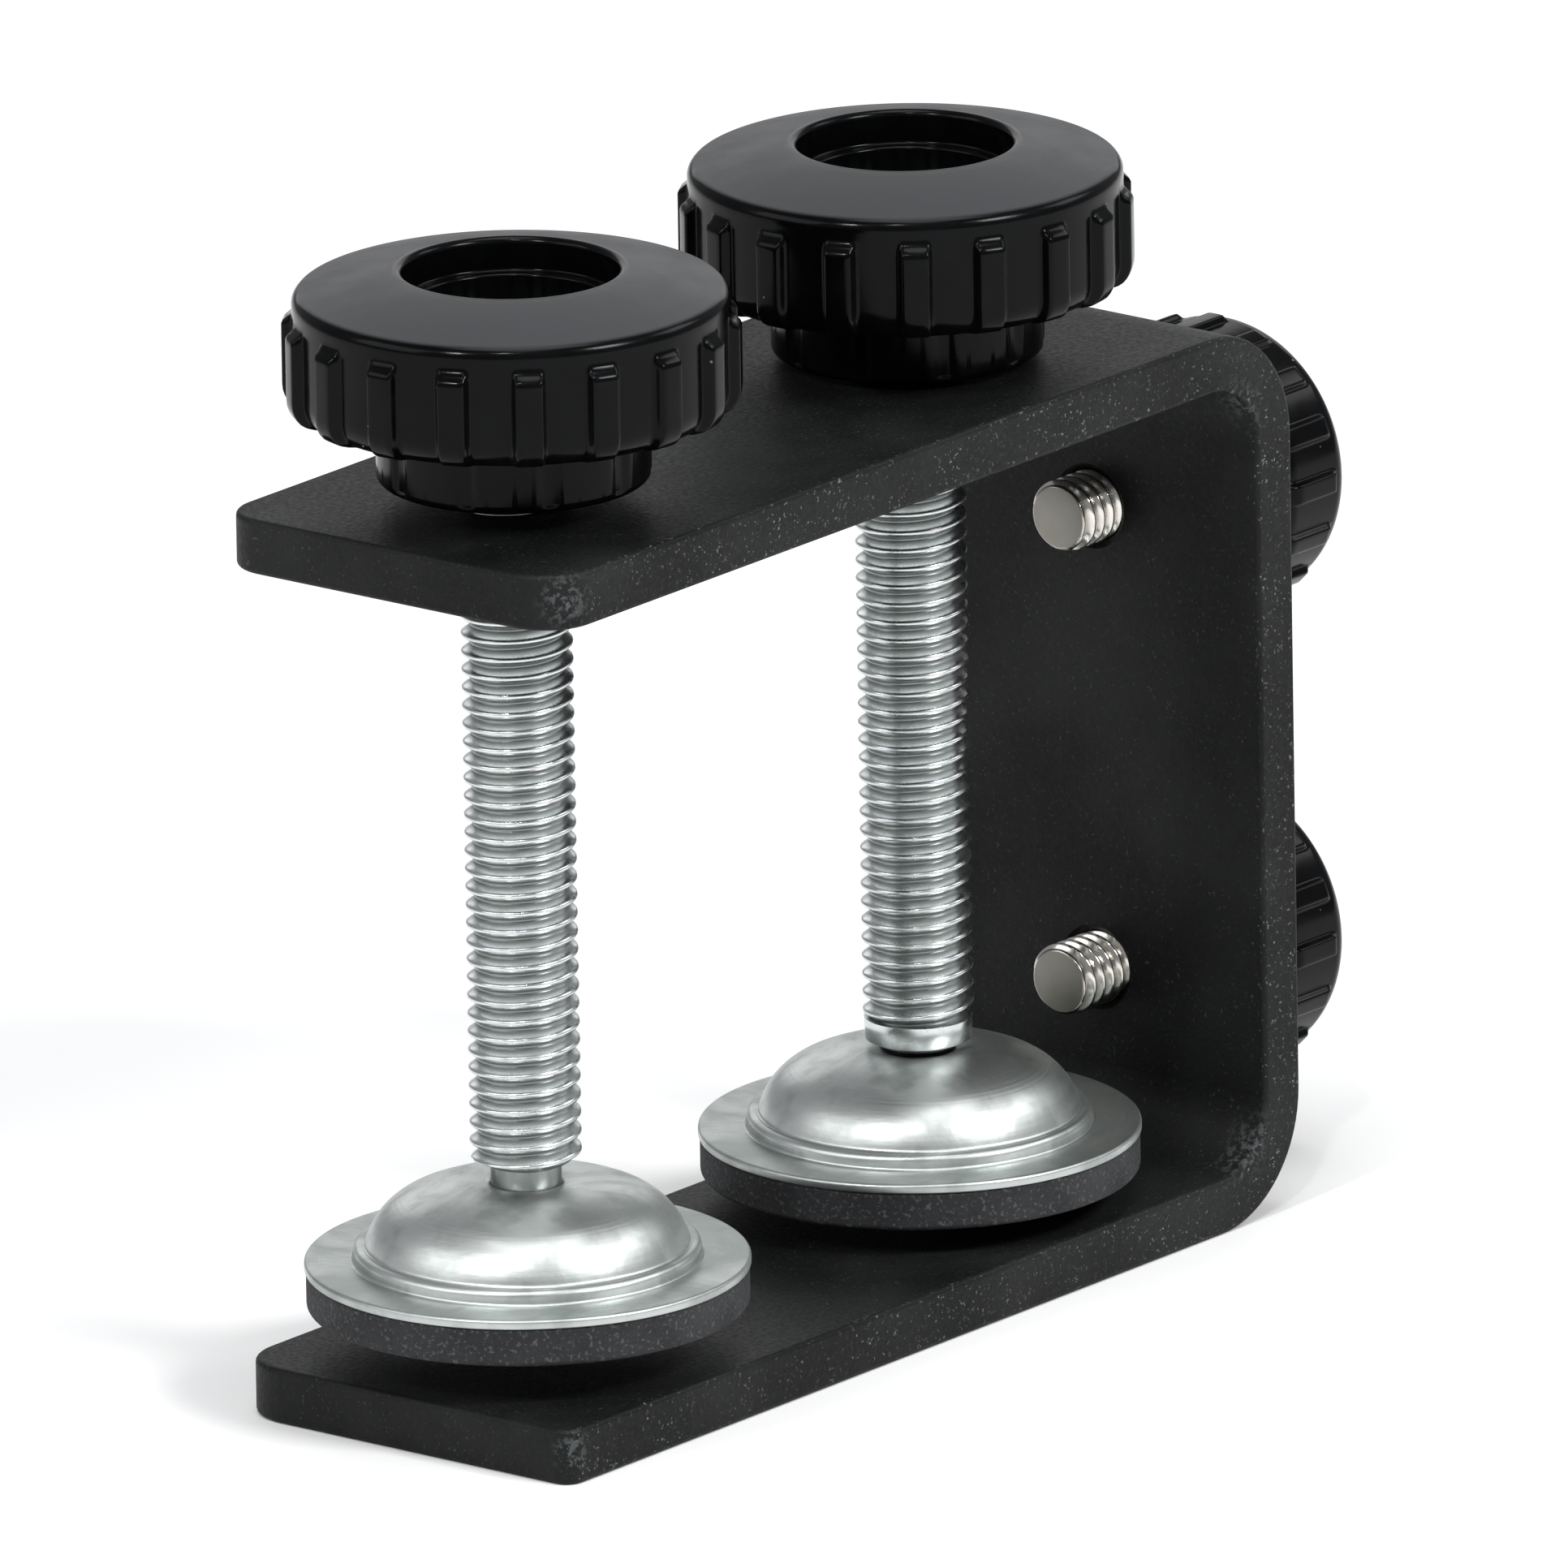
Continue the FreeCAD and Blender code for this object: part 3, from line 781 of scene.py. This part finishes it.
def pressed_zinc():
    """Satin zinc on pressed steel: rings from the press tool, soft clouds, and painted shade darkening the
    flange.
    """
    light, dull = (0.62, 0.65, 0.635), (0.40, 0.435, 0.42)
    # The flange colour is painted shade for the flat flange.
    smudge, flange = (0.31, 0.33, 0.31), (0.34, 0.37, 0.36)
    look = Look("foot_steel_zinc")
    look.set(Metallic=1.0)
    reach = look.from_axis()
    outward = look.add("ShaderNodeCombineXYZ")
    look.join(reach, outward.inputs[0])
    rings = look.noise(5200, detail=3.0, roughness=0.6, place=outward.outputs[0])
    cloud = look.noise(95, detail=5.0, roughness=0.62, distortion=0.6)
    stain = look.noise(260, detail=3.0)
    flat = look.ramp(reach, (BEAD_RADIUS + BEAD_ROUND) * MM, (BEAD_RADIUS + 1.0) * MM)
    colour = look.mix(look.ramp(cloud, 0.40, 0.66), light, dull)
    colour = look.mix(look.ramp(stain, 0.52, 0.70, 0.0, 0.5), colour, smudge)
    # Painted shade: the flat flange is mixed a little darker.
    colour = look.mix(look.math("MULTIPLY", flat, 0.3), colour, flange)
    rough = look.math("ADD", look.ramp(cloud, 0.3, 0.7, 0.36, 0.46), look.ramp(rings, 0.3, 0.7, -0.03, 0.03))
    normal = look.bump(cloud, 0.0005, 0.2)
    normal = look.bump(rings, 0.00002, 0.6, under=normal)
    return look.finish(colour, rough, normal)


def pad_rubber():
    """Dark rubber with a fine pale fleck and a dusty, slightly rough side."""
    dark, dusty, fleck_colour = (0.017, 0.0175, 0.019), (0.031, 0.032, 0.034), (0.11, 0.11, 0.107)
    look = Look("pad_rubber_black")
    look.set(Metallic=0.0, Specular_IOR_Level=0.3)
    grain = look.noise(2300, detail=3.0, roughness=0.65)
    fleck = look.ramp(look.noise(2700, detail=2.0, roughness=0.6), 0.56, 0.68)
    cloud = look.noise(170, detail=3.0)
    colour = look.mix(look.ramp(cloud, 0.35, 0.7), dark, dusty)
    colour = look.mix(look.math("MULTIPLY", fleck, 0.55), colour, fleck_colour)
    rough = look.ramp(grain, 0.3, 0.7, 0.66, 0.86)
    normal = look.bump(grain, 0.00009, 0.8)
    return look.finish(colour, rough, normal)


def turned_steel():
    """Plain turned and plated steel for washers, inserts and the retainers."""
    dull, light = (0.62, 0.64, 0.63), (0.76, 0.78, 0.77)
    look = Look("turned_steel_zinc")
    look.set(Metallic=1.0)
    grain = look.noise(900, detail=4.0, roughness=0.6)
    colour = look.mix(look.ramp(grain, 0.35, 0.7), dull, light)
    rough = look.ramp(grain, 0.3, 0.7, 0.26, 0.42)
    normal = look.bump(grain, 0.00002, 0.5)
    return look.finish(colour, rough, normal)


# ---------------------------------------------------------------- assembly

def centre_of(node):
    low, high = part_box(node)
    return (low + high) / 2


def put(piece, place, body, slot, *nodes):
    """Stands a piece on its axis, makes it ride on its body, and hides the CAD nodes that it stands for."""
    piece.matrix_world = place
    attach(piece, body)
    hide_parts(*nodes)


def paint(node, material):
    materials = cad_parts[node].data.materials
    materials.clear()
    materials.append(material)


clamp_plastic = knob_plastic("knob_plastic_black", *CROWN["clamp"])
thumb_plastic = knob_plastic("knob_plastic_small", *CROWN["thumb"])
# Each thread's dark colour is painted shade in its roots, and also the colour of its blotches.
screw_zinc = plated_thread(
    "zinc_thread_bright",
    bright=(0.70, 0.73, 0.73),
    dark=(0.30, 0.32, 0.31),
    major=SCREW_RADIUS,
    pitch=SCREW_PITCH,
    least_rough=0.20,
    most_rough=0.32,
)
stud_nickel = plated_thread(
    "nickel_stud_bright",
    bright=(0.74, 0.71, 0.655),
    dark=(0.30, 0.28, 0.245),
    major=STUD_RADIUS,
    pitch=STUD_PITCH,
    least_rough=0.12,
    most_rough=0.20,
    face=-THUMB_REACH,
)
foot_zinc = pressed_zinc()
rubber = pad_rubber()
steel = turned_steel()

paint("bracket", powder_coat(*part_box("bracket")))
for screw_number in (1, 2):
    axis = centre_of(f"clamp_screw_{screw_number}")
    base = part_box(f"rubber_pad_{screw_number}")[0].z
    hub_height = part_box(f"clamp_knob_{screw_number}")[0].z
    rod_length = (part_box(f"clamp_screw_{screw_number}")[1].z - base) / MM
    at_base = Matrix.Translation((axis.x, axis.y, base))
    at_hub = Matrix.Translation((axis.x, axis.y, hub_height))
    foot_body, screw_body = f"foot_{screw_number}", f"screw_{screw_number}"
    rod = clamp_rod(screw_number, rod_length, screw_zinc)
    put(rod, at_base, screw_body, "zinc_thread", f"clamp_screw_{screw_number}")
    knob = clamp_knob(screw_number, clamp_plastic)
    put(knob, at_hub, screw_body, "knob_plastic", f"clamp_knob_{screw_number}")
    cup = foot_cup(screw_number, foot_zinc)
    put(cup, at_base, foot_body, "foot_steel", f"foot_shell_{screw_number}")
    pad = foot_rubber(screw_number, rubber)
    put(pad, at_base, foot_body, "pad_rubber", f"rubber_pad_{screw_number}")
    paint(f"knob_insert_{screw_number}", steel)
    paint(f"ball_retainer_{screw_number}", steel)

for side in ("lower", "upper"):
    middle = centre_of(f"thumb_stud_{side}")
    hub_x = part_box(f"thumb_knob_{side}")[0].x
    stud_reach = (hub_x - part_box(f"thumb_stud_{side}")[0].x) / MM
    outward = Matrix.Translation((hub_x, middle.y, middle.z)) @ Matrix.Rotation(TAU / 4, 4, "Y")
    stud = thumb_rod(side, stud_reach, stud_nickel)
    put(stud, outward, f"thumbscrew_{side}", "nickel_stud", f"thumb_stud_{side}")
    knob = thumb_knob(side, thumb_plastic)
    put(knob, outward, f"thumbscrew_{side}", "knob_plastic", f"thumb_knob_{side}")
    disc = washer(side, steel)
    put(disc, outward, f"washer_{side}", "zinc_washer", f"thumb_washer_{side}")


# ---------------------------------------------------------------- stage, light and camera

def floor():
    half = FLOOR_SIDE / 2
    corners = [(-half, -half, 0), (half, -half, 0), (half, half, 0), (-half, half, 0)]
    mesh = bpy.data.meshes.new("floor")
    mesh.from_pydata(corners, [], [(0, 1, 2, 3)])
    look = Look("floor_pale")
    look.set(Roughness=0.75, Specular_IOR_Level=0.2)
    look.finish(colour=look.mix(look.noise(3.0), (0.86, 0.86, 0.86), (0.88, 0.88, 0.88)))
    mesh.materials.append(look.material)
    piece = bpy.data.objects.new("floor", mesh)
    bpy.context.scene.collection.objects.link(piece)
    piece.location.z = CAD_BOX[0][2]


def towards(azimuth, elevation):
    """The unit vector from the clamp towards an azimuth and elevation in degrees; azimuth 0 is -Y."""
    azimuth, elevation = math.radians(azimuth), math.radians(elevation)
    return Vector((
        math.sin(azimuth) * math.cos(elevation),
        -math.cos(azimuth) * math.cos(elevation),
        math.sin(elevation),
    ))


def soft_light(name, direction, distance, size, power):
    """A rectangular studio lamp that looks at the clamp from an azimuth and elevation in degrees."""
    away = towards(*direction)
    data = bpy.data.lights.new(name, "AREA")
    data.shape = "RECTANGLE"
    data.size, data.size_y = size
    data.energy = power
    lamp = bpy.data.objects.new(name, data)
    lamp.location = AIM + away * distance
    lamp.rotation_euler = away.to_track_quat("Z", "Y").to_euler()
    bpy.context.scene.collection.objects.link(lamp)


def sky():
    """Even pale surroundings."""
    world = bpy.data.worlds.new("studio")
    world.use_nodes = True
    tree = world.node_tree
    background = tree.nodes["Background"]
    background.inputs["Color"].default_value = SKY_COLOUR
    background.inputs["Strength"].default_value = SKY_STRENGTH
    bpy.context.scene.world = world


def camera():
    back = towards(AZIMUTH, ELEVATION)
    azimuth = math.radians(AZIMUTH)
    right = Vector((math.cos(azimuth), math.sin(azimuth), 0.0))
    up = back.cross(right)
    roll = math.radians(ROLL)
    level_right = right * math.cos(roll) + up * math.sin(roll)
    level_up = up * math.cos(roll) - right * math.sin(roll)
    data = bpy.data.cameras.new("camera")
    data.sensor_width = SENSOR
    data.lens = SENSOR * DISTANCE / SEEN_WIDTH
    data.clip_end = CLIP_END
    view = bpy.data.objects.new("camera", data)
    turn = Matrix((level_right, level_up, back)).transposed().to_4x4()
    place = AIM + level_right * AIM_OFFSET[0] + level_up * AIM_OFFSET[1] + back * DISTANCE
    view.matrix_world = Matrix.Translation(place) @ turn
    bpy.context.scene.collection.objects.link(view)
    bpy.context.scene.camera = view


floor()
for lamp_settings in LAMPS:
    soft_light(*lamp_settings)
sky()
camera()

scene = bpy.context.scene
scene.view_settings.view_transform = "Standard"
scene.view_settings.look = "None"
